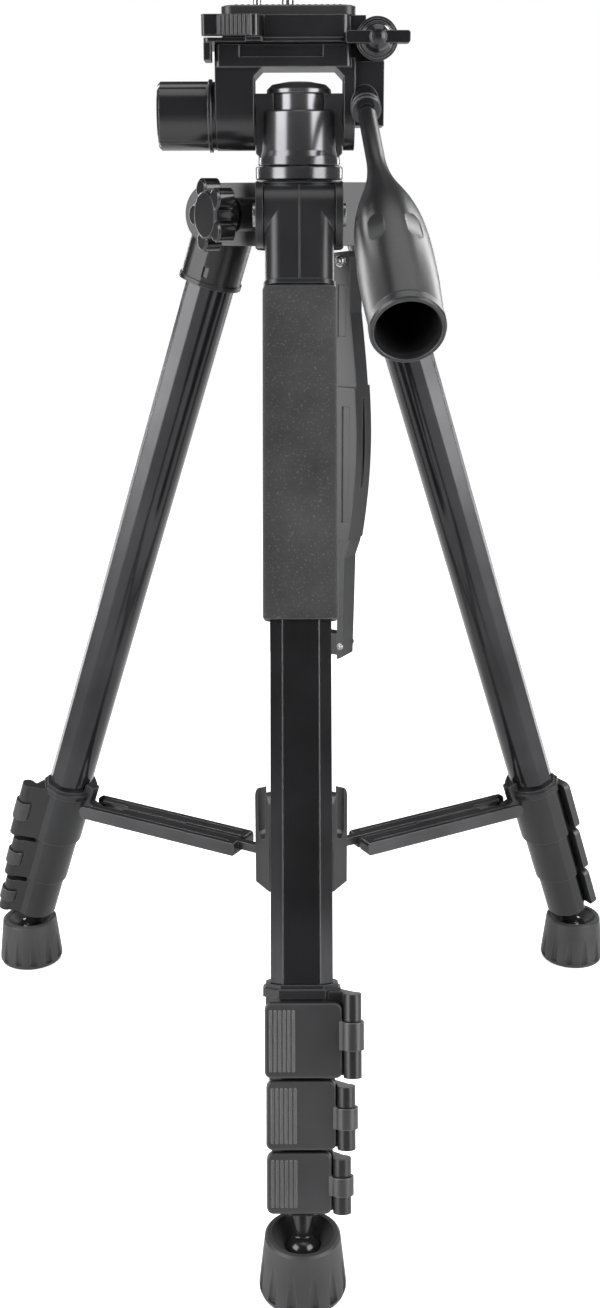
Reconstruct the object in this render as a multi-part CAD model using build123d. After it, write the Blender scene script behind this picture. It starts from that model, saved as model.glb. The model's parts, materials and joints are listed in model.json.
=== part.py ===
from build123d import *
import math
import os

os.makedirs("parts", exist_ok=True)

# All lengths are millimetres. The origin is on the tripod's axis at floor level,
# +Z is up, and leg 1 points toward -Y.

# --- legs ---
LEG_AZIMUTHS = {1: -90.0, 2: 30.0, 3: 150.0}
HINGE_RADIUS = 41.0
HINGE_HEIGHT = 485.0
FOOT_CIRCLE_RADIUS = 210.0
BALL_HEIGHT = 20.0
LEG_DROP = HINGE_HEIGHT - BALL_HEIGHT
LEG_LEAN = math.degrees(math.atan2(FOOT_CIRCLE_RADIUS - HINGE_RADIUS, LEG_DROP))
LEG_LENGTH = math.hypot(FOOT_CIRCLE_RADIUS - HINGE_RADIUS, LEG_DROP)
TUBE_WALL = 1.2
SLIDE_GAP = 0.3
RUNNING_GAP = 0.05
# half width, distance from the centreline to the outer face and to the inner face
TUBE_SECTIONS = {1: (14.6, 11.5, 11.5), 2: (12.7, 9.8, 9.8), 3: (10.8, 8.1, 8.1), 4: (8.9, 6.4, 6.4)}
TUBE_TOPS = {1: 20.0, 2: 42.0, 3: 46.0, 4: 50.0}
# distance down the leg to the collar's top and bottom
COLLAR_SPANS = {1: (371.0, 412.6), 2: (413.2, 445.2), 3: (445.8, 474.0)}
COLLAR_SECTIONS = {1: (17.0, 12.3, 14.5), 2: (15.4, 10.8, 12.8), 3: (14.2, 9.6, 11.4)}
COLLAR_GRIP = 12.0
KNUCKLE_CENTRES = {1: (15.8, 23.3), 2: (14.0, 20.3), 3: (12.6, 18.2)}
KNUCKLE_RADIUS = 4.2
TAB_RADIUS = 5.4
LEVER_TOP_GAPS = {1: 7.4, 2: 0.7, 3: 0.7}
LEVER_LEFT_EDGES = {1: -17.3, 2: -16.6, 3: -16.4}
LEVER_PIN_RADIUS = 1.3
LEVER_THICKNESS = 4.6
FOAM_THICKNESS = 3.4

# --- leg hinge ---
EAR_RADIUS = 15.8
EAR_INNER = 17.6
EAR_OUTER = 21.3
PIVOT_BOLT_RADIUS = 3.0

# --- foot ---
FOOT_RADIUS = 20.3
FOOT_RIM_RADIUS = 17.6
FOOT_HEIGHT = 30.0
BALL_RADIUS = 9.0
STUD_RADIUS = 5.0

# --- spreader ---
ARM_OUTER_PIVOT = (150.0, 119.0)
ARM_INNER_PIVOT = (26.0, 123.0)
ARM_HALF_WIDTH = 11.0
ARM_TOP = 125.0
ARM_BOTTOM = 117.0
ARM_WALL = 2.2
ARM_PIN_RADIUS = 2.0

# --- centre ---
TUBE_OUTER_RADIUS = 14.0
COLUMN_RADIUS = 12.0
COLUMN_INNER_RADIUS = 10.4
CENTRE_TUBE_BOTTOM = 247.0
SHOULDER_BOTTOM = 467.0
SHOULDER_TOP = 501.7
SHOULDER_RADIUS = 23.0
KNOB_AZIMUTH = -150.0
HANDLE_AZIMUTH = -30.0
HANDLE_INNER = 26.6
HANDLE_TOP_INNER = 23.0

# --- head ---
TILT_AXIS_HEIGHT = 533.5
TILT_SHAFT_RADIUS = 5.0
CHEEK_OUTER = 22.0
CHEEK_HALF_DEPTH = 8.0
YOKE_INNER = 22.5
PAN_STUB_RADIUS = 8.0
YOKE_LEFT = -41.8
YOKE_RIGHT = 28.0
YOKE_HALF_DEPTH = 19.0
FLIP_AXIS = (38.5, 568.5)
FLIP_SCREW_RADIUS = 2.5
PLATFORM_HALF_DEPTH = 24.0
PLATE_TOP = 584.2
SCREW_X = -5.5
PIN_X = -20.9
CAMERA_SCREW_RADIUS = 3.175
ANTI_TWIST_RADIUS = 2.1
PAN_HANDLE_START = Vector(33.2, -20.0, 536.3)
PAN_HANDLE_DIRECTION = Vector(0.054, -0.872, -0.487).normalized()
PAN_HANDLE_LENGTH = 195.0
PAN_ROD_RADIUS = 3.6


def block(x_span, y_span, z_span):
    """Box given by its low and high coordinates."""
    size = [span[1] - span[0] for span in (x_span, y_span, z_span)]
    centre = [(span[1] + span[0]) / 2 for span in (x_span, y_span, z_span)]
    return Pos(*centre) * Box(*size)


def rod(radius, start, end):
    """Cylinder from one point to another."""
    start, end = Vector(*start), Vector(*end)
    plane = Plane(origin=start, z_dir=(end - start).normalized())
    return plane * Cylinder(radius, (end - start).length, align=(Align.CENTER, Align.CENTER, Align.MIN))


def turned(points, origin=(0, 0, 0), axis=(0, 0, 1)):
    """Solid of revolution from (radius, height) points about an axis through the origin point."""
    outline = make_face(Polyline(*[(r, 0, h) for r, h in points], close=True))
    body = revolve(outline, Axis.Z)
    return Plane(origin=origin, z_dir=axis) * body


def leg_section(half_width, outer, inner):
    """Leg tube outline: flat outer band, chamfers, straight sides and a round inner side."""
    band = 0.6 * half_width
    shoulder = outer - 0.36 * half_width
    side_end = -0.1 * half_width
    right = [(outer, -band), (outer, band), (shoulder, half_width), (side_end, half_width)]
    edges = Polyline(*right)
    edges += ThreePointArc((side_end, half_width), (-inner, 0), (side_end, -half_width))
    edges += Polyline((side_end, -half_width), (shoulder, -half_width), (outer, -band))
    return make_face(edges)


def rounded_section(half_width, outer, inner, corner):
    """Fitting outline: flat outer face with large round corners and a round inner side."""
    side_end = -0.1 * half_width
    slope = corner * math.sqrt(0.5)
    arc_x, arc_y = outer - corner, half_width - corner
    edges = Line((outer, -arc_y), (outer, arc_y))
    edges += ThreePointArc((outer, arc_y), (arc_x + slope, arc_y + slope), (arc_x, half_width))
    edges += Line((arc_x, half_width), (side_end, half_width))
    edges += ThreePointArc((side_end, half_width), (-inner, 0), (side_end, -half_width))
    edges += Line((side_end, -half_width), (arc_x, -half_width))
    edges += ThreePointArc((arc_x, -half_width), (arc_x + slope, -arc_y - slope), (outer, -arc_y))
    return make_face(edges)


def prism(outline, top, bottom):
    """Extrude an outline between two distances down the leg."""
    return extrude(Pos(0, 0, -bottom) * outline, amount=bottom - top)


def leg_prism(section, top, bottom):
    """Extrude a leg section between two distances down the leg."""
    return extrude(Pos(0, 0, -bottom) * leg_section(*section), amount=bottom - top)


def grown(section, margin):
    return tuple(value + margin for value in section)


def on_leg(shape, number):
    """Move a shape from the leg's own frame, hinge at the origin, to its place."""
    return Rot(0, 0, LEG_AZIMUTHS[number]) * Pos(HINGE_RADIUS, 0, HINGE_HEIGHT) * Rot(0, -LEG_LEAN, 0) * shape


def at_azimuth(shape, azimuth):
    return Rot(0, 0, azimuth) * shape


def down_leg(radius, height):
    """Leg-frame (offset, distance down) of a point in the leg's vertical plane."""
    lean = math.radians(LEG_LEAN)
    out, drop = radius - HINGE_RADIUS, HINGE_HEIGHT - height
    return out * math.cos(lean) - drop * math.sin(lean), out * math.sin(lean) + drop * math.cos(lean)


def leg_top():
    """Fitting between the shoulder's ears and the first tube: barrel, rounded body, seam and lip."""
    half_gap = 17.2
    body = rod(14.5, (0, -half_gap, 0), (0, half_gap, 0))
    body += prism(rounded_section(16.8, 14.5, 14.0, 8.0), 0, 38)
    body += prism(rounded_section(17.6, 15.2, 14.8, 8.4), 36.2, 38.6)
    seam = block((12, 14.75), (-0.3, 0.3), (-36.2, 0)) + rod(14.75, (0, -0.3, 0), (0, 0.3, 0))
    body += seam
    body -= leg_prism(TUBE_SECTIONS[1], TUBE_TOPS[1], 40)
    for side in (-1, 1):
        near, far = side * 15.6, side * 18.0
        body -= block((-4.4, -1.6), (min(near, far), max(near, far)), (-33.6, -28.0))
    return body - rod(PIVOT_BOLT_RADIUS + RUNNING_GAP, (0, -20, 0), (0, 20, 0))


def leg_tube(level):
    """Hollow leg tube; the last one ends in the foot's ball stud."""
    section = TUBE_SECTIONS[level]
    top = TUBE_TOPS[level]
    if level == 4:
        bottom = COLLAR_SPANS[3][1] + 3.0
    else:
        bottom = COLLAR_SPANS[level][0] + COLLAR_GRIP
    tube = leg_prism(section, top, bottom)
    tube -= leg_prism(grown(section, -TUBE_WALL), top - 1, bottom + 1)
    if level == 4:
        plug = leg_prism(grown(section, -TUBE_WALL), bottom - 12, bottom)
        stud = rod(STUD_RADIUS, (0, 0, -bottom), (0, 0, -LEG_LENGTH))
        ball = Pos(0, 0, -LEG_LENGTH) * Sphere(BALL_RADIUS)
        tube = tube + plug + stud + ball
    return tube


def knuckle_spans(level):
    """Top, lever and bottom thirds of a collar's hinge, as distances down the leg."""
    top, bottom = COLLAR_SPANS[level]
    start, end = top + 3.0, bottom - 0.6
    third = (end - start) / 3
    gap = 0.3
    return (start, start + third - gap), (start + third, start + 2 * third), (start + 2 * third + gap, end)


def collar(level):
    """Flip-lock collar: clamps one tube at its top and guides the next one below."""
    top, bottom = COLLAR_SPANS[level]
    section = COLLAR_SECTIONS[level]
    half_width, outer, _ = section
    centre_x, centre_y = KNUCKLE_CENTRES[level]
    upper, middle, lower = knuckle_spans(level)
    axis = (centre_x, centre_y)
    outline = Polyline((centre_x, centre_y + KNUCKLE_RADIUS), (2, half_width - 0.3), (2, half_width - 6),
                       (outer - 0.2, half_width - 6), (outer - 0.2, centre_y - KNUCKLE_RADIUS),
                       (centre_x, centre_y - KNUCKLE_RADIUS), close=True)
    body = prism(make_face(outline), upper[0], lower[1])
    body += rod(KNUCKLE_RADIUS, (*axis, -lower[1]), (*axis, -upper[0]))
    body += leg_prism(section, top, bottom)
    body -= rod(TAB_RADIUS + 0.35, (*axis, -middle[1] - 0.3), (*axis, -middle[0] + 0.3))
    if level == 1:
        body += leg_prism(grown(section, 1.2), top + 2.0, top + 6.0)
        body += arm_lug()
    body += rod(LEVER_PIN_RADIUS, (*axis, -lower[1]), (*axis, -upper[0]))
    body -= leg_prism(TUBE_SECTIONS[level], top - 1, top + COLLAR_GRIP)
    return body - leg_prism(grown(TUBE_SECTIONS[level + 1], SLIDE_GAP), top, bottom + 1)


def arm_lug():
    """Lug on the first collar that carries the spreader arm's outer pivot."""
    pivot_x, pivot_s = down_leg(*ARM_OUTER_PIVOT)
    half = 3.1
    lug = block((pivot_x, -12), (-half, half), (-pivot_s - 3.9, -pivot_s + 3.9))
    lug += rod(3.9, (pivot_x, -half, -pivot_s), (pivot_x, half, -pivot_s))
    lug += block((-18.2, -12), (-half, half), (-pivot_s, -pivot_s + 15))
    return lug - rod(ARM_PIN_RADIUS + RUNNING_GAP, (pivot_x, -9, -pivot_s), (pivot_x, 9, -pivot_s))


def lever(level):
    """Flip lever with finger ridges; its tab wraps a pin beside the collar."""
    top, bottom = COLLAR_SPANS[level]
    outer = COLLAR_SECTIONS[level][1]
    centre_x, centre_y = KNUCKLE_CENTRES[level]
    _, middle, _ = knuckle_spans(level)
    inner_face = outer + 0.3
    face = inner_face + LEVER_THICKNESS
    low, high = -(bottom - 0.3), -(top + LEVER_TOP_GAPS[level])
    plate_end = centre_y - KNUCKLE_RADIUS - 0.5
    left_edge, tab_end = LEVER_LEFT_EDGES[level], plate_end + 1.6
    plate = block((inner_face, face), (left_edge, plate_end), (low, high))
    plate += block((inner_face, face), (plate_end - 5, tab_end), (-middle[1], -middle[0]))
    across = plate.edges().filter_by(Axis.X)
    plate = fillet([edge for edge in across if abs(edge.center().Y - plate_end) < 0.1
                    and low + 1 < edge.center().Z < high - 1], 1.3)
    across = plate.edges().filter_by(Axis.X)
    plate = fillet([edge for edge in across if not low + 1 < edge.center().Z < high - 1], 3.2)
    plate = fillet(plate.faces().sort_by(Axis.X)[-1].edges(), 1.0)
    ridge_count = 6
    for index in range(ridge_count):
        y = left_edge + 2.8 + 2.1 * index
        plate += rod(0.5, (face, y, low + 3.2), (face, y, high - 3.2))
    tab_angle = math.radians(-18)
    touch = (centre_x + TAB_RADIUS * math.cos(tab_angle), centre_y + TAB_RADIUS * math.sin(tab_angle))
    tab = Polyline((inner_face + 0.2, plate_end - 2), (face - 0.6, plate_end - 2), touch,
                   (centre_x, centre_y),
                   (inner_face + 0.2, plate_end + 1.5), close=True)
    body = plate + prism(make_face(tab), *middle)
    body += rod(TAB_RADIUS, (centre_x, centre_y, -middle[1]), (centre_x, centre_y, -middle[0]))
    bore = LEVER_PIN_RADIUS + RUNNING_GAP
    return body - rod(bore, (centre_x, centre_y, -middle[1] - 1), (centre_x, centre_y, -middle[0] + 1))


def foot():
    """Swivel foot: fluted cone with a cup for the ball stud."""
    body = turned([(0, 0), (FOOT_RADIUS - 2, 0), (FOOT_RADIUS - 0.6, 0.8), (FOOT_RADIUS, 2.4),
                   (FOOT_RADIUS, 4), (FOOT_RIM_RADIUS, FOOT_HEIGHT - 1), (FOOT_RIM_RADIUS - 1, FOOT_HEIGHT),
                   (0, FOOT_HEIGHT)])
    cup = turned([(0, BALL_HEIGHT), (8.3, BALL_HEIGHT), (8.3, BALL_HEIGHT + 3.5), (13.6, FOOT_HEIGHT - 1.6),
                  (15.2, FOOT_HEIGHT + 1), (0, FOOT_HEIGHT + 1)])
    body -= cup
    body -= Pos(0, 0, BALL_HEIGHT) * Sphere(BALL_RADIUS + RUNNING_GAP)
    flute_count = 12
    flute_radius = 2.6
    for index in range(flute_count):
        flute = rod(flute_radius, (FOOT_RADIUS + 0.9, 0, 3.0), (FOOT_RIM_RADIUS + 3.4, 0, FOOT_HEIGHT - 7))
        body -= Rot(0, 0, 360.0 / flute_count * (index + 0.5)) * flute
    return Pos(FOOT_CIRCLE_RADIUS, 0, 0) * body


def spreader_arm():
    """Channel arm with a notch for the leg's lug and a one-sided prong at the hub."""
    outer_r, outer_z = ARM_OUTER_PIVOT
    inner_r, inner_z = ARM_INNER_PIVOT
    wide_start, arm_end = inner_r + 13.5, outer_r + 4.8
    notch_start, slot_end = outer_r - 23, 82
    width = (-ARM_HALF_WIDTH, ARM_HALF_WIDTH)
    body = block((wide_start, arm_end), width, (ARM_BOTTOM, ARM_TOP))
    body = fillet(body.edges().filter_by(Axis.Y).group_by(Axis.X)[-1], 3.5)
    body = fillet(body.edges().filter_by(Axis.Y).group_by(Axis.X)[0], 2.0)
    hollow_half = ARM_HALF_WIDTH - ARM_WALL
    under, over = ARM_BOTTOM - 1, ARM_TOP + 1
    body -= block((wide_start + 5, arm_end + 2), (-hollow_half, hollow_half), (under, ARM_TOP - 1.8))
    body -= block((notch_start, arm_end + 1), (-3.6, 3.6), (under, over))
    body -= block((wide_start - 1, slot_end), (-1.9, 1.9), (under, over))
    body -= block((slot_end, notch_start), (-1.0, 1.0), (ARM_TOP - 0.8, over))
    groove_y, groove_half = 7.9, 0.35
    for side in (-1, 1):
        span = (side * groove_y - groove_half, side * groove_y + groove_half)
        body -= block((wide_start + 6, arm_end - 6), span, (ARM_TOP - 0.5, over))
        body -= rod(5.2, (arm_end - 2.5, side * 4.0, under), (arm_end - 2.5, side * 4.0, over))
    prong = block((inner_r, wide_start + 6), (1.9, 6.0), (inner_z - 3, ARM_TOP))
    prong += rod(3.0, (inner_r, 1.9, inner_z), (inner_r, 6, inner_z))
    body += prong + rod(2.0, (inner_r, 6, inner_z), (inner_r, 6.6, inner_z))
    return body + rod(ARM_PIN_RADIUS, (outer_r, -ARM_HALF_WIDTH, outer_z), (outer_r, ARM_HALF_WIDTH, outer_z))


def spreader_hub():
    """Hub with thin fins for the arms, and forked posts between the arms."""
    inner_r, inner_z = ARM_INNER_PIVOT
    low, high = inner_z - 14, inner_z - 8
    body = Pos(0, 0, low) * Cylinder(12, high - low, align=(Align.CENTER, Align.CENTER, Align.MIN))
    fin_y = (-1.25, 1.25)
    fin = block((6, 29), fin_y, (low, high)) + block((20, 29), fin_y, (low, inner_z))
    fin += rod(3.0, (inner_r, fin_y[0], inner_z), (inner_r, fin_y[1], inner_z))
    post_top = inner_z + 47
    post = block((20.5, 26), (-8, 8), (low, post_top - 8))
    post += rod(8, (20.5, 0, post_top - 8), (26, 0, post_top - 8))
    post -= block((19, 28), (-4.1, 4.1), (inner_z + 20, post_top + 2))
    post -= rod(4.1, (19, 0, inner_z + 20), (28, 0, inner_z + 20))
    spoke = block((0, 21), (-6, 6), (low, high))
    for azimuth in LEG_AZIMUTHS.values():
        body += at_azimuth(fin, azimuth)
        body += at_azimuth(post + spoke, azimuth + 60)
    return body


def hinge_point(offset):
    """Point on a leg's hinge axis, before it is turned to the leg's azimuth."""
    return (HINGE_RADIUS, offset, HINGE_HEIGHT)


def shoulder_casting():
    """Shoulder that carries the three leg hinges, the column bore and the knob boss."""
    body = rod(SHOULDER_RADIUS, (0, 0, SHOULDER_BOTTOM), (0, 0, SHOULDER_TOP))
    body = chamfer(body.edges().filter_by(GeomType.CIRCLE), 1.0)
    for azimuth in LEG_AZIMUTHS.values():
        for side in (-1, 1):
            span = sorted((side * EAR_INNER, side * EAR_OUTER))
            ear = rod(EAR_RADIUS, hinge_point(span[0]), hinge_point(span[1]))
            arm = block((6, HINGE_RADIUS), span, (HINGE_HEIGHT - EAR_RADIUS, HINGE_HEIGHT + EAR_RADIUS))
            body += at_azimuth(ear + arm, azimuth)
    for azimuth in LEG_AZIMUTHS.values():
        clearance = rod(14.9, hinge_point(-EAR_INNER), hinge_point(EAR_INNER))
        bolt = rod(PIVOT_BOLT_RADIUS, hinge_point(-30), hinge_point(30))
        body -= at_azimuth(clearance + bolt, azimuth)
    boss = rod(8.5, (14, 0, HINGE_HEIGHT), (38, 0, HINGE_HEIGHT))
    body += at_azimuth(boss, KNOB_AZIMUTH)
    body -= at_azimuth(rod(3.0 + RUNNING_GAP, (11, 0, HINGE_HEIGHT), (39, 0, HINGE_HEIGHT)), KNOB_AZIMUTH)
    body -= rod(COLUMN_RADIUS + RUNNING_GAP, (0, 0, SHOULDER_BOTTOM - 1), (0, 0, SHOULDER_TOP + 1))
    body -= rod(TUBE_OUTER_RADIUS, (0, 0, SHOULDER_BOTTOM - 1), (0, 0, SHOULDER_BOTTOM + 8))
    return body


def centre_tube():
    """Fixed guide tube below the shoulder."""
    top = SHOULDER_BOTTOM + 8
    body = rod(TUBE_OUTER_RADIUS, (0, 0, CENTRE_TUBE_BOTTOM), (0, 0, top))
    return body - rod(COLUMN_RADIUS + RUNNING_GAP, (0, 0, CENTRE_TUBE_BOTTOM - 1), (0, 0, top + 1))


def leg_pivot_bolts():
    """Three hinge bolts, one per leg."""
    bolts = []
    for azimuth in LEG_AZIMUTHS.values():
        bolt = rod(PIVOT_BOLT_RADIUS, hinge_point(-EAR_OUTER), hinge_point(EAR_OUTER))
        for side in (-1, 1):
            bolt += rod(5.6, hinge_point(side * EAR_OUTER), hinge_point(side * (EAR_OUTER + 1.6)))
        bolts.append(at_azimuth(bolt, azimuth))
    return Compound(children=bolts)


def handle_clamps():
    """Two rings on the centre tube that hold the carry handle."""
    clamps = []
    for low, high, reach in ((CENTRE_TUBE_BOTTOM + 1, 264.0, HANDLE_INNER), (449.0, 465.0, HANDLE_TOP_INNER)):
        ring = rod(17.3, (0, 0, low), (0, 0, high))
        ring += block((10, reach), (-3.5, 3.5), (low + 2, high - 2))
        ring -= rod(TUBE_OUTER_RADIUS, (0, 0, low - 1), (0, 0, high + 1))
        clamps.append(at_azimuth(ring, HANDLE_AZIMUTH))
    return Compound(children=clamps)


def carry_handle():
    """Bowed grip that runs beside the centre tube between its two clamps."""
    edges = Polyline((HANDLE_TOP_INNER, 0, 428), (HANDLE_TOP_INNER, 0, 466), (31, 0, 467), (33.4, 0, 464),
                     (33.6, 0, 436))
    edges += Spline((33.6, 0, 436), (36.9, 0, 407), (38.9, 0, 370), (36.8, 0, 335), (33.8, 0, 314))
    edges += Polyline((33.8, 0, 314), (31.0, 0, 306), (30.4, 0, 281), (29.6, 0, 250),
                      (HANDLE_INNER, 0, 248.5), (HANDLE_INNER, 0, 396), (HANDLE_TOP_INNER, 0, 428))
    side = make_face(edges)
    body = extrude(side, amount=6.5, both=True)
    body += extrude(side, amount=8.4, both=True) & block((20, 45), (-9, 9), (316, 398))
    for face in (-1, 1):
        recess = sorted((face * 7.6, face * 9.4))
        body -= block((30.2, 34.4), recess, (326, 388))
        strap = sorted((face * 5.9, face * 7.4))
        body -= block((26.4, 31.0), strap, (424, 450))
    body -= block((37.2, 46), (-1.6, 1.6), (344, 392))
    return at_azimuth(body, HANDLE_AZIMUTH)


def star_knob():
    """Five-lobed knob that clamps the centre column."""
    body = turned([(0, 46), (12.0, 46), (12.0, 54.2), (11.0, 55.2), (0, 55.2)], axis=(1, 0, 0))
    lobe_count = 5
    for index in range(lobe_count):
        angle = 2 * math.pi * (index + 0.5) / lobe_count
        centre = (0, 13.2 * math.cos(angle), 13.2 * math.sin(angle))
        body += turned([(0, 46), (5.4, 46), (5.4, 54), (4.4, 55), (0, 55)], origin=centre, axis=(1, 0, 0))
    body += rod(8.5, (40, 0, 0), (46, 0, 0)) + rod(3.0, (24, 0, 0), (46, 0, 0))
    return at_azimuth(Pos(0, 0, HINGE_HEIGHT) * body, KNOB_AZIMUTH)


def centre_column():
    """Sliding column below the head."""
    bottom, top = CENTRE_TUBE_BOTTOM + 5, SHOULDER_TOP + 0.3
    body = rod(COLUMN_RADIUS, (0, 0, bottom), (0, 0, top))
    return body - rod(COLUMN_INNER_RADIUS, (0, 0, bottom - 1), (0, 0, top + 1))


def pan_base():
    """Ring under the head with the stub the head pans on."""
    low = SHOULDER_TOP + 0.3
    body = turned([(0, low), (21.8, low), (22.4, low + 0.6), (22.4, low + 6), (21.8, low + 6.6),
                   (0, low + 6.6)])
    body += rod(PAN_STUB_RADIUS, (0, 0, low), (0, 0, low + 16))
    return body + rod(COLUMN_INNER_RADIUS, (0, 0, low - 10), (0, 0, low + 1))


def pan_body():
    """Round stem of the head with two cheeks for the tilt shaft."""
    low = SHOULDER_TOP + 7.3
    body = turned([(0, low), (20.6, low), (21.0, low + 0.5), (20.8, low + 4.5), (20.2, low + 6.6),
                   (20.0, low + 7.2), (19.6, 534.8), (19.0, 535.6), (14.3, 536.0), (14.3, 543.6),
                   (16.4, 544.0), (16.3, 546.0), (13.8, 548.4), (7.0, 549.7), (0, 550.0)])
    for side in (-1, 1):
        span = sorted((side * 12.7, side * CHEEK_OUTER))
        cheek = block(span, (-CHEEK_HALF_DEPTH, CHEEK_HALF_DEPTH), (low + 4, 543.9))
        foot_edges = cheek.edges().filter_by(Axis.Y).group_by(Axis.Z)[0].sort_by(Axis.X)
        body += chamfer(foot_edges[-1 if side > 0 else 0], 2.0)
    body -= rod(PAN_STUB_RADIUS + RUNNING_GAP, (0, 0, low - 1), (0, 0, low + 9.6))
    return body - rod(TILT_SHAFT_RADIUS + RUNNING_GAP, (-25, 0, TILT_AXIS_HEIGHT), (25, 0, TILT_AXIS_HEIGHT))


def yoke_side(x_low, x_high):
    """Side plate of the yoke, rounded about the tilt axis."""
    plate = rod(17.0, (x_low, 0, TILT_AXIS_HEIGHT), (x_high, 0, TILT_AXIS_HEIGHT))
    return plate + block((x_low, x_high), (-17, 17), (TILT_AXIS_HEIGHT, 560))


def handle_point(distance):
    """Point on the pan handle's axis, measured from its socket's mouth."""
    return PAN_HANDLE_START + PAN_HANDLE_DIRECTION * distance


def tilt_yoke():
    """Yoke over the stem, with the pan handle's socket and the flip hinge's middle knuckle."""
    beam = block((YOKE_LEFT, YOKE_RIGHT - 1.8), (-YOKE_HALF_DEPTH, YOKE_HALF_DEPTH), (555.8, 566.4))
    beam = fillet(beam.edges().filter_by(Axis.Z), 3.0)
    beam -= block((-29.5, 12), (-YOKE_HALF_DEPTH - 1, -YOKE_HALF_DEPTH + 1.2), (560.5, 567))
    body = beam + yoke_side(YOKE_LEFT, -YOKE_INNER) + yoke_side(YOKE_INNER, YOKE_RIGHT)
    for side, gusset_x in ((1, -YOKE_INNER - 0.1), (-1, YOKE_INNER + 0.1)):
        gusset = Polyline((gusset_x, 0, 551.4), (gusset_x + side * 4.4, 0, 555.9), (gusset_x, 0, 555.9),
                          close=True)
        body += extrude(make_face(gusset), amount=17, both=True)
    body += rod(TILT_SHAFT_RADIUS, (-26, 0, TILT_AXIS_HEIGHT), (-14, 0, TILT_AXIS_HEIGHT))
    body += rod(TILT_SHAFT_RADIUS, (26, 0, TILT_AXIS_HEIGHT), (14, 0, TILT_AXIS_HEIGHT))
    body -= rod(4 + RUNNING_GAP, (YOKE_LEFT - 1, 0, TILT_AXIS_HEIGHT), (-28, 0, TILT_AXIS_HEIGHT))
    body += block((25, 42.5), (-14, 12), (528, 558.5))
    flip_x, flip_z = FLIP_AXIS
    body += block((25.8, 42.5), (-7.7, 7.7), (550, flip_z))
    body += rod(8.5, (flip_x, -7.7, flip_z), (flip_x, 7.7, flip_z))
    body -= rod(FLIP_SCREW_RADIUS + RUNNING_GAP, (flip_x, -9, flip_z), (flip_x, 9, flip_z))
    for radius, near, far in ((7.0, -14, 3), (7.6, -1.4, -0.4), (7.6, 1.8, 2.8)):
        body += rod(radius, tuple(handle_point(near)), tuple(handle_point(far)))
    return body - rod(PAN_ROD_RADIUS + RUNNING_GAP, tuple(handle_point(-12)), tuple(handle_point(9)))


def tilt_lock_knob():
    """Large side knob with four grooves along it, a flange and its clamp screw."""
    body = rod(16.8, (-71.4, 0, 0), (-45.6, 0, 0))
    body = chamfer(body.edges().filter_by(GeomType.CIRCLE).group_by(Axis.X)[0], 1.2)
    for angle in (50, 130, 230, 310):
        y, z = -17.2 * math.cos(math.radians(angle)), 17.2 * math.sin(math.radians(angle))
        body -= rod(1.1, (-72, y, z), (-46.6, y, z))
    body += rod(17.8, (-45.6, 0, 0), (-44.0, 0, 0)) + rod(16.6, (-44.0, 0, 0), (-42.2, 0, 0))
    body += rod(4.0, (-45, 0, 0), (-29, 0, 0))
    return Pos(0, 0, TILT_AXIS_HEIGHT) * body


def along_handle(points):
    """Turned part on the pan handle's axis, from (radius, distance) points."""
    return turned(points, origin=tuple(PAN_HANDLE_START), axis=tuple(PAN_HANDLE_DIRECTION))


def pan_handle_rod():
    """Metal rod of the pan handle."""
    return along_handle([(0, -11), (PAN_ROD_RADIUS, -11), (PAN_ROD_RADIUS, 86), (0, 86)])


def pan_handle_grip():
    """Slim neck that flares into a grip with long scalloped facets and a hollow end."""
    end = PAN_HANDLE_LENGTH
    plane = Plane(origin=PAN_HANDLE_START, z_dir=PAN_HANDLE_DIRECTION)
    outline = Polyline((PAN_ROD_RADIUS, 0, 50), (PAN_ROD_RADIUS, 0, 8), (4.5, 0, 8), (4.5, 0, 52))
    outline += Spline((4.5, 0, 52), (6.7, 0, 76), (12.2, 0, 98), (16.2, 0, 124), (16.9, 0, 150),
                      (15.6, 0, end - 6), tangents=[(0.0, 0, 1.0), (-0.05, 0, 1.0)])
    outline += Polyline((15.6, 0, end - 6), (16.0, 0, end - 5), (16.0, 0, end - 1), (15.4, 0, end),
                        (14.0, 0, end), (13.0, 0, end - 3), (13.0, 0, 108), (8, 0, 94), (0, 0, 88),
                        (0, 0, 86), (PAN_ROD_RADIUS, 0, 86), (PAN_ROD_RADIUS, 0, 50))
    body = plane * revolve(make_face(outline), Axis.Z)
    facet_count = 6
    for index in range(facet_count):
        facet = Pos(96.2, 0, 136) * Rot(90, 0, 0) * Cylinder(80.2, 7.6)
        body -= plane * Rot(0, 0, 360.0 / facet_count * (index + 0.5)) * facet
    return body


def qr_platform():
    """Head platform with the plate's pocket, the lever's pin and the flip hinge's outer knuckles."""
    flip_x, flip_z = FLIP_AXIS
    half = PLATFORM_HALF_DEPTH
    body = block((-37.8, 25.2), (-half, half), (566.8, 579.4))
    body = fillet(body.edges().filter_by(Axis.Z), 4.0)
    base = block((-46.8, 22.2), (-half - 2, half + 2), (566.8, 568.8))
    body += fillet(base.edges().filter_by(Axis.Z), 3.0)
    body += block((-46.8, -43.4), (-half + 1, -6), (558.6, 567))
    for low, high in ((-20, -8), (8, 20)):
        body += rod(8.8, (flip_x, low, flip_z), (flip_x, high, flip_z))
        body += block((22, flip_x), (low, high), (flip_z + 1, flip_z + 8.6))
    bridge = block((22, 33), (-20, 20), (572.5, 579.4))
    body += bridge - rod(9.2, (flip_x, -7.9, flip_z), (flip_x, 7.9, flip_z))
    body -= block((-31.2, 19.2), (-18.2, 18.2), (571.4, 580))
    body += block((-26, -18), (-31, -22), (566.8, 568.8)) + rod(1.5, (-22, -28.4, 567), (-22, -28.4, 579.2))
    body -= block((-28, -17), (-25.4, -23.4), (568.8, 580))
    return body - rod(FLIP_SCREW_RADIUS + RUNNING_GAP, (flip_x, -22, flip_z), (flip_x, 22, flip_z))


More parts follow.
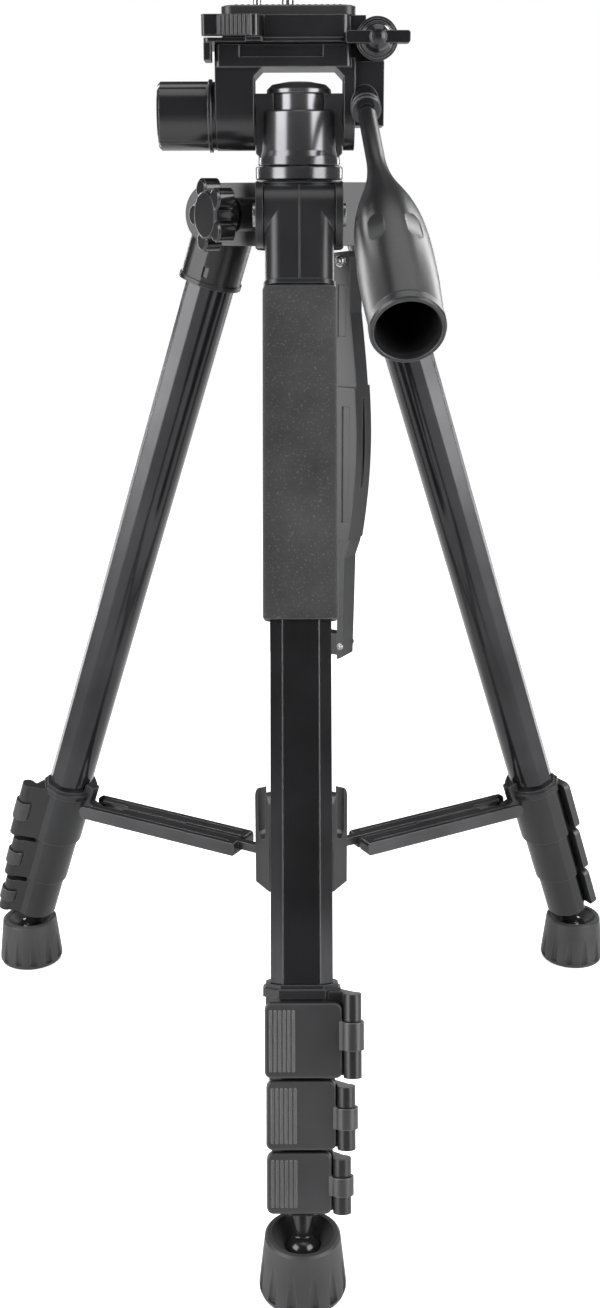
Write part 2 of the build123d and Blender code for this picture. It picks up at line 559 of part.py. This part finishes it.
def qr_lever():
    """Quick-release lever with finger ridges, wrapped along the platform's front edge."""
    body = block((-47.3, -22), (-30.9, -26.2), (569.2, 579.0))
    body = fillet(body.edges().filter_by(Axis.Z).group_by(Axis.X)[0], 1.8)
    for index in range(8):
        x = -38.6 + 2.0 * index
        body += rod(0.8, (x, -30.9, 569.8), (x, -30.9, 578.4))
    body += rod(2.9, (-22, -28.4, 569.2), (-22, -28.4, 579.0))
    return body - rod(1.5 + RUNNING_GAP, (-22, -28.4, 568), (-22, -28.4, 580))


def qr_plate():
    """Camera plate with a rubber-ribbed top, a foot in the pocket and holes for screw and pin."""
    body = block((-38.2, 28.0), (-22, 22), (579.6, PLATE_TOP - 0.5))
    body = fillet(body.edges().filter_by(Axis.Z), 6.0)
    pad = block((-36.8, 26.6), (-20.6, 20.6), (PLATE_TOP - 0.6, PLATE_TOP))
    body += fillet(pad.edges().filter_by(Axis.Z), 5.0)
    body += block((-31.0, 19.0), (-18.0, 18.0), (571.6, 580.0))
    body -= rod(CAMERA_SCREW_RADIUS + RUNNING_GAP, (SCREW_X, 0, 570), (SCREW_X, 0, 590))
    body -= rod(9.0, (SCREW_X, 0, 570), (SCREW_X, 0, 577.4))
    body -= rod(ANTI_TWIST_RADIUS + RUNNING_GAP, (PIN_X, 0, 570), (PIN_X, 0, 590))
    return body - rod(3.5, (PIN_X, 0, 570), (PIN_X, 0, 577.2))


def camera_screw():
    """Quarter-inch camera screw: thread above a slimmer neck, with a slotted head under the plate."""
    thread_start, thread_end = PLATE_TOP + 0.4, PLATE_TOP + 4.7
    body = rod(CAMERA_SCREW_RADIUS, (SCREW_X, 0, thread_start), (SCREW_X, 0, thread_end))
    body = chamfer(body.edges().filter_by(GeomType.CIRCLE).sort_by(Axis.Z)[-1], 0.5)
    body += rod(2.7, (SCREW_X, 0, 576), (SCREW_X, 0, thread_start))
    body += rod(8.6, (SCREW_X, 0, 573.4), (SCREW_X, 0, 577.0))
    return body - block((SCREW_X - 7, SCREW_X + 7), (-0.7, 0.7), (572, 574.6))


def anti_twist_pin():
    """Sprung pin that enters a video camera's locating hole."""
    neck_end, tip = PLATE_TOP + 0.3, PLATE_TOP + 5.0
    body = rod(ANTI_TWIST_RADIUS, (PIN_X, 0, neck_end), (PIN_X, 0, tip))
    body = chamfer(body.edges().filter_by(GeomType.CIRCLE).sort_by(Axis.Z)[-1], 0.4)
    body += rod(1.7, (PIN_X, 0, 576.2), (PIN_X, 0, neck_end))
    return body + rod(3.3, (PIN_X, 0, 576.0), (PIN_X, 0, 577.1))


def flip_wing_screw():
    """Wing screw that clamps the flip hinge: stepped washers, a dome and a flat wing."""
    flip_x, flip_z = FLIP_AXIS
    body = rod(FLIP_SCREW_RADIUS, (flip_x, -21, flip_z), (flip_x, 19.5, flip_z))
    body += turned([(0, 20.2), (10.4, 20.2), (10.4, 21.4), (9.3, 21.6), (9.3, 22.4), (8.0, 22.7), (8.0, 24.0),
                    (7.0, 24.4), (6.7, 27.4), (5.6, 29.8), (3.4, 31.6), (1.6, 32.2), (0, 32.4)],
                   origin=(flip_x, 0, flip_z), axis=(0, -1, 0))
    wing = block((flip_x - 15.7, flip_x + 15.7), (-31.0, -24.2), (flip_z - 2.9, flip_z + 2.9))
    return body + fillet(wing.edges().filter_by(Axis.Y), 1.4)


def foam_grip():
    """Foam sleeve on leg 1, below its top fitting."""
    top, bottom = 39.0, 200.5
    body = leg_prism(grown(TUBE_SECTIONS[1], FOAM_THICKNESS), top, bottom)
    body = fillet(body.edges().filter_by(Axis.Z), 2.5)
    body -= leg_prism(TUBE_SECTIONS[1], top - 1, bottom + 1)
    return on_leg(body, 1)


leg_parts = {"top": leg_top()}
for level in (1, 2, 3, 4):
    leg_parts[f"tube_{level}"] = leg_tube(level)
for level in (1, 2, 3):
    leg_parts[f"collar_{level}"] = collar(level)
    leg_parts[f"lever_{level}"] = lever(level)
foot_shape = foot()
arm_shape = spreader_arm()

parts = {
    "shoulder_casting": shoulder_casting(),
    "centre_tube": centre_tube(),
    "leg_pivot_bolts": leg_pivot_bolts(),
    "handle_clamps": handle_clamps(),
    "carry_handle": carry_handle(),
    "foam_grip": foam_grip(),
    "spreader_hub": spreader_hub(),
    "column_lock_knob": star_knob(),
    "centre_column": centre_column(),
    "pan_base": pan_base(),
    "pan_body": pan_body(),
    "tilt_yoke": tilt_yoke(),
    "tilt_lock_knob": tilt_lock_knob(),
    "pan_handle_rod": pan_handle_rod(),
    "pan_handle_grip": pan_handle_grip(),
    "qr_platform": qr_platform(),
    "flip_wing_screw": flip_wing_screw(),
    "qr_lever": qr_lever(),
    "qr_plate": qr_plate(),
    "camera_screw": camera_screw(),
    "anti_twist_pin": anti_twist_pin(),
}
for number, azimuth in LEG_AZIMUTHS.items():
    for name, shape in leg_parts.items():
        parts[f"leg_{number}_{name}"] = on_leg(shape, number)
    parts[f"leg_{number}_foot"] = at_azimuth(foot_shape, azimuth)
    parts[f"spreader_arm_{number}"] = at_azimuth(arm_shape, azimuth)

for name, shape in parts.items():
    export_step(shape, f"parts/{name}.step")
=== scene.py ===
import json
import math

import bmesh
import bpy
from mathutils import Matrix, Vector


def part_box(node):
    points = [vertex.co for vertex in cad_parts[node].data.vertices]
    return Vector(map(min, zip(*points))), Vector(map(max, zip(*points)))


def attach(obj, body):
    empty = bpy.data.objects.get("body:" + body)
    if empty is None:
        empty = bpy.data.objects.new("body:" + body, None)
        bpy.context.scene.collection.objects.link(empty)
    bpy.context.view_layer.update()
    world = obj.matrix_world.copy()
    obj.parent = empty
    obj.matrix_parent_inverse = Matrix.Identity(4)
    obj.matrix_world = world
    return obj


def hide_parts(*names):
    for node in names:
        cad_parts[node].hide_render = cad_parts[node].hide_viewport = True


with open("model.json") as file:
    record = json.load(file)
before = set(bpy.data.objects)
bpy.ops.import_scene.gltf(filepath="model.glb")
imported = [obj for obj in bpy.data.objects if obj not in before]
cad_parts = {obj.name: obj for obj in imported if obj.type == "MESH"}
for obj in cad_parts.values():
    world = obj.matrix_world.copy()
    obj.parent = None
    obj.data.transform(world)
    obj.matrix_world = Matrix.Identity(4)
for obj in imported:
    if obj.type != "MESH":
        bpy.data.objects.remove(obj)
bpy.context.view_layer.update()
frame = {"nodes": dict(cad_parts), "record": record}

FRONT_LEG_AZIMUTH = math.radians(-90)
HANDLE_AZIMUTH = math.radians(-30)
HINGE_RADIUS = 0.041
HINGE_HEIGHT = 0.485
FOOT_CIRCLE_RADIUS = 0.210
BALL_HEIGHT = 0.020
LEG_LEAN = math.atan2(FOOT_CIRCLE_RADIUS - HINGE_RADIUS, HINGE_HEIGHT - BALL_HEIGHT)


def front_leg_matrix():
    """Front leg's own frame to the shared frame: X points out of its outer face and -Z runs down the leg."""
    turn = Matrix.Rotation(FRONT_LEG_AZIMUTH, 4, "Z")
    place = Matrix.Translation((HINGE_RADIUS, 0, HINGE_HEIGHT))
    return turn @ place @ Matrix.Rotation(-LEG_LEAN, 4, "Y")


# ---------------------------------------------------------------- materials

ROUGHNESS_SPREAD = 0.12
FLECK_SCALE = 1100.0
MOTTLE_SCALE = 22.0


def noise_pattern(nodes, links, coords, scale, detail):
    """Noise that stays with the object as it moves."""
    noise = nodes.new("ShaderNodeTexNoise")
    noise.inputs["Scale"].default_value = scale
    noise.inputs["Detail"].default_value = detail
    links.new(coords.outputs["Object"], noise.inputs["Vector"])
    return noise.outputs["Fac"]


def remapped(nodes, links, value, from_range, to_range):
    """A value moved from one range to another and clamped there."""
    remap = nodes.new("ShaderNodeMapRange")
    remap.inputs["From Min"].default_value, remap.inputs["From Max"].default_value = from_range
    remap.inputs["To Min"].default_value, remap.inputs["To Max"].default_value = to_range
    links.new(value, remap.inputs["Value"])
    return remap.outputs["Result"]


def color_mix(nodes, links, factor, second):
    """Colour mix node with its factor linked and its second colour set."""
    mix = nodes.new("ShaderNodeMix")
    mix.data_type = "RGBA"
    links.new(factor, mix.inputs["Factor"])
    mix.inputs["B"].default_value = (*second, 1)
    return mix


def lightened(color, gain, lift):
    """A paler version of a colour."""
    return [min(1.0, channel * gain + lift) for channel in color]


def edge_factor(nodes, links, bevel, amount):
    """How far the softened normal leaves the true one, which picks out edges and corners."""
    geometry = nodes.new("ShaderNodeNewGeometry")
    dot = nodes.new("ShaderNodeVectorMath")
    dot.operation = "DOT_PRODUCT"
    links.new(bevel.outputs["Normal"], dot.inputs[0])
    links.new(geometry.outputs["Normal"], dot.inputs[1])
    return remapped(nodes, links, dot.outputs["Value"], (1.0, 0.8), (0.0, amount))


def new_material(name, color, roughness, metallic=0.0, grain=900.0, grain_depth=0.00002, contrast=0.25,
                 edge=0.0004, edge_wear_and_highlight=0.25, sheen=0.0, specular=0.5, speckle=0.0):
    """Moulded or coated surface: mottled colour, fine grain in the bump, softened edges lightened in the
    colour, partly as wear and partly as a painted highlight.
    """
    material = bpy.data.materials.new(name)
    material.use_nodes = True
    nodes, links = material.node_tree.nodes, material.node_tree.links
    nodes.clear()
    output = nodes.new("ShaderNodeOutputMaterial")
    shader = nodes.new("ShaderNodeBsdfPrincipled")
    links.new(shader.outputs["BSDF"], output.inputs["Surface"])
    shader.inputs["Metallic"].default_value = metallic
    shader.inputs["Specular IOR Level"].default_value = specular
    shader.inputs["Sheen Weight"].default_value = sheen

    coords = nodes.new("ShaderNodeTexCoord")
    fine = noise_pattern(nodes, links, coords, grain, 3.0)
    broad = noise_pattern(nodes, links, coords, MOTTLE_SCALE, 4.0)
    bevel = nodes.new("ShaderNodeBevel")
    bevel.samples = 4
    bevel.inputs["Radius"].default_value = edge

    patches = remapped(nodes, links, broad, (0.32, 0.68), (0.0, 1.0))
    mottle = color_mix(nodes, links, patches, [channel * (1 + contrast) for channel in color])
    mottle.inputs["A"].default_value = (*[channel * (1 - contrast) for channel in color], 1)
    surface_color = mottle.outputs["Result"]
    if speckle:
        flecks = noise_pattern(nodes, links, coords, FLECK_SCALE, 2.0)
        fleck_factor = remapped(nodes, links, flecks, (0.60, 0.72), (0.0, speckle))
        flecked = color_mix(nodes, links, fleck_factor, lightened(color, 4.0, 0.08))
        links.new(surface_color, flecked.inputs["A"])
        surface_color = flecked.outputs["Result"]
    # Edges and corners are lightened in the base colour: partly wear, partly a painted highlight that stands
    # in for the shine along the edges.
    wear_and_highlight = edge_factor(nodes, links, bevel, edge_wear_and_highlight)
    worn_and_highlighted = color_mix(nodes, links, wear_and_highlight, lightened(color, 2.5, 0.10))
    links.new(surface_color, worn_and_highlighted.inputs["A"])
    links.new(worn_and_highlighted.outputs["Result"], shader.inputs["Base Color"])

    roughness_range = (roughness * (1 - ROUGHNESS_SPREAD), roughness * (1 + ROUGHNESS_SPREAD))
    links.new(remapped(nodes, links, broad, (0.0, 1.0), roughness_range), shader.inputs["Roughness"])
    bump = nodes.new("ShaderNodeBump")
    bump.inputs["Strength"].default_value = 0.6
    bump.inputs["Distance"].default_value = grain_depth
    links.new(fine, bump.inputs["Height"])
    links.new(bevel.outputs["Normal"], bump.inputs["Normal"])
    links.new(bump.outputs["Normal"], shader.inputs["Normal"])
    return material


# The edge amount in each finish sets how far edges and corners are lightened in the colour, as wear and as a
# painted highlight.
FINISHES = {
    "black_anodised": dict(color=(0.032, 0.032, 0.034), roughness=0.16, metallic=0.75, specular=0.6,
                           grain=1600, grain_depth=0.000005, edge=0.0009, edge_wear_and_highlight=0.35),
    "moulded_plastic": dict(color=(0.012, 0.012, 0.013), roughness=0.30, specular=0.34,
                            grain=1400, grain_depth=0.000014, edge=0.0007, edge_wear_and_highlight=0.5),
    "lever_plastic": dict(color=(0.024, 0.024, 0.025), roughness=0.35, specular=0.42,
                          grain=1400, grain_depth=0.000014, edge=0.0007, edge_wear_and_highlight=0.9),
    "rubber": dict(color=(0.022, 0.022, 0.023), roughness=0.46, specular=0.38, sheen=0.05, contrast=0.4,
                   grain=1100, grain_depth=0.00003, edge=0.0006, edge_wear_and_highlight=0.3),
    "spreader_metal": dict(color=(0.048, 0.048, 0.050), roughness=0.26, metallic=0.65,
                           grain=1300, grain_depth=0.00001, edge_wear_and_highlight=0.5),
    "bolt_steel": dict(color=(0.24, 0.24, 0.245), roughness=0.26, metallic=0.9, grain=1500),
    "handle_plastic": dict(color=(0.014, 0.014, 0.015), roughness=0.32, specular=0.34,
                           grain=1200, grain_depth=0.000014, edge=0.0007, edge_wear_and_highlight=0.7),
    "foam": dict(color=(0.024, 0.024, 0.025), roughness=0.88, specular=0.2, sheen=0.12, contrast=0.5,
                 grain=900, grain_depth=0.00030, edge=0.001, edge_wear_and_highlight=0.0, speckle=0.22),
    "knob_plastic": dict(color=(0.007, 0.007, 0.008), roughness=0.20,
                         grain=1500, grain_depth=0.000008, edge=0.0007, edge_wear_and_highlight=0.8),
    "head_metal": dict(color=(0.100, 0.100, 0.105), roughness=0.21, metallic=0.8, specular=0.6,
                       grain=1300, grain_depth=0.000008, edge=0.0007, edge_wear_and_highlight=0.3),
    "head_plastic": dict(color=(0.009, 0.009, 0.010), roughness=0.22, specular=0.48,
                         grain=1400, grain_depth=0.00001, edge=0.0007, edge_wear_and_highlight=0.9),
    "grip_rubber": dict(color=(0.010, 0.010, 0.011), roughness=0.30, specular=0.42,
                        grain=1300, grain_depth=0.000008, edge=0.0009, edge_wear_and_highlight=0.6),
    "plate_plastic": dict(color=(0.016, 0.016, 0.017), roughness=0.36, specular=0.42,
                          grain=1200, grain_depth=0.000014, edge=0.0007, edge_wear_and_highlight=0.9),
    "screw_steel": dict(color=(0.34, 0.34, 0.34), roughness=0.24, metallic=0.95, grain=1500),
}
MATERIALS = {name: new_material(name, **finish) for name, finish in FINISHES.items()}

for part in frame["record"]["subparts"]:
    node = frame["nodes"][part["node"]]
    node.data.materials.clear()
    node.data.materials.append(MATERIALS[part["material_slot"]])


# ---------------------------------------------------------------- pieces


def body_of(node):
    """Name of the body that a node moves with."""
    bodies = frame["record"]["behaviour"]["bodies"]
    return next(body for body, nodes in bodies.items() if node in nodes)


def piece(name, mesh, body, slot):
    """Link a finished mesh as a piece that rides on a body and takes its finish from a slot."""
    holder = bpy.data.objects.new(name, mesh)
    bpy.context.scene.collection.objects.link(holder)
    mesh.materials.append(MATERIALS[slot])
    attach(holder, body)
    return holder


def grip_outline(half_width, outer, inner, corner, margin):
    """Points round the leg: flat outer face, round corners, straight sides and a round inner side."""
    half_width, outer, inner = half_width + margin, outer + margin, inner + margin
    corner_steps, back_steps = 8, 24
    side_end = -0.1 * half_width
    corner_points = []
    for step in range(corner_steps + 1):
        angle = math.pi / 2 * step / corner_steps
        across = outer - corner + corner * math.cos(angle)
        along = half_width - corner + corner * math.sin(angle)
        corner_points.append((across, along))
    back_points = []
    for step in range(1, back_steps):
        angle = math.pi / 2 + math.pi * step / back_steps
        back_points.append((side_end + (inner + side_end) * math.cos(angle), half_width * math.sin(angle)))
    mirrored_corner = [(across, -along) for across, along in reversed(corner_points)]
    return corner_points + back_points + mirrored_corner


def foam_sleeve():
    """Soft sleeve that hugs the front leg's tube, rounded at its corners and its ends."""
    tube_half_width, tube_outer, tube_inner = 0.0146, 0.0115, 0.0115
    thickness, corner = 0.0034, 0.0052
    top, bottom = 0.0391, 0.2004
    length_steps, end_steps = 60, 4
    end_round, inner_gap, least_corner = 0.0014, 0.00012, 0.0008
    place = front_leg_matrix()
    top_rings = []
    for step in range(end_steps + 1):
        angle = math.pi / 2 * step / end_steps
        margin = thickness - end_round * (1 - math.cos(angle))
        top_rings.append((top + end_round * (1 - math.sin(angle)), margin))
    top_rings.sort()
    straight_length = bottom - top - 2 * end_round
    straight_rings = [(top + end_round + straight_length * step / length_steps, thickness)
                      for step in range(1, length_steps)]
    bottom_rings = [(top + bottom - distance, margin) for distance, margin in reversed(top_rings)]
    inner_rings = [(distance, inner_gap) for distance in (bottom, (top + bottom) / 2, top)]
    mesh = bpy.data.meshes.new("foam_sleeve")
    form = bmesh.new()
    loops = []
    for distance, margin in top_rings + straight_rings + bottom_rings + inner_rings:
        rounding = max(least_corner, corner - (thickness - margin))
        loop = []
        for x, y in grip_outline(tube_half_width, tube_outer, tube_inner, rounding, margin):
            loop.append(form.verts.new(place @ Vector((x, y, -distance))))
        loops.append(loop)
    count = len(loops[0])
    for index in range(len(loops)):
        near, far = loops[index], loops[(index + 1) % len(loops)]
        for corner_index in range(count):
            following = (corner_index + 1) % count
            form.faces.new((near[corner_index], near[following], far[following], far[corner_index]))
    bmesh.ops.recalc_face_normals(form, faces=form.faces)
    for face in form.faces:
        face.smooth = True
    form.to_mesh(mesh)
    form.free()
    return mesh


def turned_form(form, profile, origin, axis, sides):
    """Add a closed solid of revolution, from (radius, height) points, to a bmesh."""
    axis = Vector(axis).normalized()
    across = axis.orthogonal().normalized()
    beside = axis.cross(across)
    loops = []
    for radius, height in profile:
        loop = []
        for step in range(sides):
            angle = 2 * math.pi * step / sides
            offset = across * (radius * math.cos(angle)) + beside * (radius * math.sin(angle))
            loop.append(form.verts.new(Vector(origin) + axis * height + offset))
        loops.append(loop)
    for near, far in zip(loops, loops[1:]):
        for step in range(sides):
            following = (step + 1) % sides
            form.faces.new((near[step], near[following], far[following], far[step]))
    form.faces.new(list(reversed(loops[0])))
    form.faces.new(loops[-1])


def finished_mesh(name, form, smooth_angle=math.radians(35)):
    """Turn a bmesh into a mesh with outward normals, smooth except at its sharp edges."""
    bmesh.ops.recalc_face_normals(form, faces=form.faces)
    for face in form.faces:
        face.smooth = True
    for edge in form.edges:
        edge.smooth = edge.calc_face_angle(0.0) < smooth_angle
    mesh = bpy.data.meshes.new(name)
    form.to_mesh(mesh)
    form.free()
    return mesh


def plate_pad():
    """Small domed rubber studs on the camera plate, clear of its screw and pin."""
    low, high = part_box("qr_plate")
    keep_out = []
    for node, reach in (("camera_screw", 0.0052), ("anti_twist_pin", 0.0040)):
        node_low, node_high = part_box(node)
        keep_out.append(((node_low[0] + node_high[0]) / 2, (node_low[1] + node_high[1]) / 2, reach))
    margin, pitch = 0.0042, 0.0030
    radius, height, sunk, sides = 0.00095, 0.0007, 0.0003, 10
    columns = int((high[0] - low[0] - 2 * margin) / pitch)
    rows = int((high[1] - low[1] - 2 * margin) / pitch)
    start_x = (low[0] + high[0] - columns * pitch) / 2
    start_y = (low[1] + high[1] - rows * pitch) / 2
    dome = [(0.75 * radius, 0.85 * height), (0.3 * radius, height)]
    profile = [(radius, -sunk), (radius, 0.45 * height)] + dome
    form = bmesh.new()
    for column in range(columns + 1):
        for row in range(rows + 1):
            x, y = start_x + column * pitch, start_y + row * pitch
            corner = column in (0, columns) and row in (0, rows)
            if corner or any(math.hypot(x - cx, y - cy) < reach for cx, cy, reach in keep_out):
                continue
            turned_form(form, profile, (x, y, high[2]), (0, 0, 1), sides)
    return finished_mesh("plate_pad_studs", form)


def handle_bolts():
    """Button-head bolts with washers on both sides of the carry handle's upper and lower ends."""
    outward = Vector((math.cos(HANDLE_AZIMUTH), math.sin(HANDLE_AZIMUTH), 0))
    sideways = Vector((outward.y, -outward.x, 0))
    half_grip, sides = 0.0064, 24
    washer = [(0.0031, 0.0), (0.0031, 0.0005), (0.0024, 0.0006)]
    head = [(0.0024, 0.0011), (0.0021, 0.0017), (0.0015, 0.0021), (0.0011, 0.0021), (0.0011, 0.0011),
            (0.0002, 0.0011)]
    form = bmesh.new()
    for distance, height, scale in ((0.0280, 0.4620, 1.0), (0.0285, 0.2560, 0.6)):
        profile = [(radius * scale, rise * scale) for radius, rise in washer + head]
        centre = outward * distance + Vector((0, 0, height))
        for side in (1, -1):
            turned_form(form, profile, centre + sideways * side * half_grip, sideways * side, sides)
    return finished_mesh("handle_bolts", form)


piece("plate_pad_studs", plate_pad(), body_of("qr_plate"), "rubber")
piece("handle_bolts", handle_bolts(), body_of("carry_handle"), "bolt_steel")
foam = piece("foam_sleeve", foam_sleeve(), body_of("foam_grip"), "foam")
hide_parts("foam_grip")

# ---------------------------------------------------------------- stage, light and camera


def floor_material(name, color, roughness, glow):
    """Pale matt floor that reads as a white sweep when seen directly and stays modest in reflections."""
    material = bpy.data.materials.new(name)
    material.use_nodes = True
    nodes, links = material.node_tree.nodes, material.node_tree.links
    shader = nodes["Principled BSDF"]
    shader.inputs["Base Color"].default_value = (*color, 1)
    shader.inputs["Roughness"].default_value = roughness
    shader.inputs["Emission Color"].default_value = (1, 1, 1, 1)
    path = nodes.new("ShaderNodeLightPath")
    seen = nodes.new("ShaderNodeMath")
    seen.operation = "MULTIPLY"
    seen.inputs[1].default_value = glow
    links.new(path.outputs["Is Camera Ray"], seen.inputs[0])
    links.new(seen.outputs["Value"], shader.inputs["Emission Strength"])
    return material


FLOOR_REACH = 40.0
floor_mesh = bpy.data.meshes.new("studio_floor")
floor_corners = [(x * FLOOR_REACH, y * FLOOR_REACH, 0) for x, y in ((-1, -1), (1, -1), (1, 1), (-1, 1))]
floor_mesh.from_pydata(floor_corners, [], [(0, 1, 2, 3)])
floor = bpy.data.objects.new("studio_floor", floor_mesh)
bpy.context.scene.collection.objects.link(floor)
floor.data.materials.append(floor_material("floor_white", (0.80, 0.80, 0.80), 0.6, 0.63))


def studio_world(seen_strength, lighting_strength):
    """White where it is seen directly, and dim where it only lights and is mirrored."""
    world = bpy.data.worlds.new("studio")
    world.use_nodes = True
    nodes, links = world.node_tree.nodes, world.node_tree.links
    background = nodes["Background"]
    background.inputs["Color"].default_value = (1, 1, 1, 1)
    path = nodes.new("ShaderNodeLightPath")
    strength = nodes.new("ShaderNodeMapRange")
    strength.inputs["To Min"].default_value = lighting_strength
    strength.inputs["To Max"].default_value = seen_strength
    links.new(path.outputs["Is Camera Ray"], strength.inputs["Value"])
    links.new(strength.outputs["Result"], background.inputs["Strength"])
    bpy.context.scene.world = world


studio_world(1.0, 0.07)
bpy.context.scene.view_settings.view_transform = "Standard"


def place_light(light, location, target):
    """Put a light at a location, aimed at a target."""
    holder = bpy.data.objects.new(light.name, light)
    bpy.context.scene.collection.objects.link(holder)
    holder.location = location
    holder.rotation_mode = "QUATERNION"
    holder.rotation_quaternion = (Vector(target) - Vector(location)).to_track_quat("-Z", "Y")


def softbox(name, location, size, energy):
    """Rectangular light aimed at the middle of the tripod."""
    light = bpy.data.lights.new(name, "AREA")
    light.shape = "RECTANGLE"
    light.size, light.size_y = size
    light.energy = energy
    place_light(light, location, (0, 0, 0.32))


for side_name, side in (("left", -1), ("right", 1)):
    softbox(side_name + "_softbox", (side * 1.23, -0.86, 0.75), (0.95, 1.7), 38)
for side_name, side in (("left", -1), ("right", 1)):
    softbox(side_name + "_rim", (side * 0.80, 1.12, 0.75), (0.16, 1.6), 8)
overhead = bpy.data.lights.new("overhead", "SUN")
overhead.energy = 1.4
overhead.angle = math.radians(60)
place_light(overhead, (0.2, 0.3, 2.0), (0, 0, 0))

CAMERA_OFFSET = -0.0003
CAMERA_ROLL = -0.0032
CAMERA_DISTANCE = 0.79506
CAMERA_HEIGHT = 0.49382
CAMERA_PITCH = 0.2690
FOCAL_RATIO = 1.1313456  # focal length over the frame's long side
VERTICAL_SHIFT = -0.037844
camera_data = bpy.data.cameras.new("camera")
camera_data.sensor_width = 36.0
camera_data.lens = camera_data.sensor_width * FOCAL_RATIO
camera_data.shift_y = VERTICAL_SHIFT
camera = bpy.data.objects.new("camera", camera_data)
bpy.context.scene.collection.objects.link(camera)
camera.location = (CAMERA_OFFSET, -CAMERA_DISTANCE, CAMERA_HEIGHT)
level_view = Matrix.Rotation(math.pi / 2 - CAMERA_PITCH, 3, "X")
camera.rotation_euler = (level_view @ Matrix.Rotation(CAMERA_ROLL, 3, "Z")).to_euler()
bpy.context.scene.camera = camera
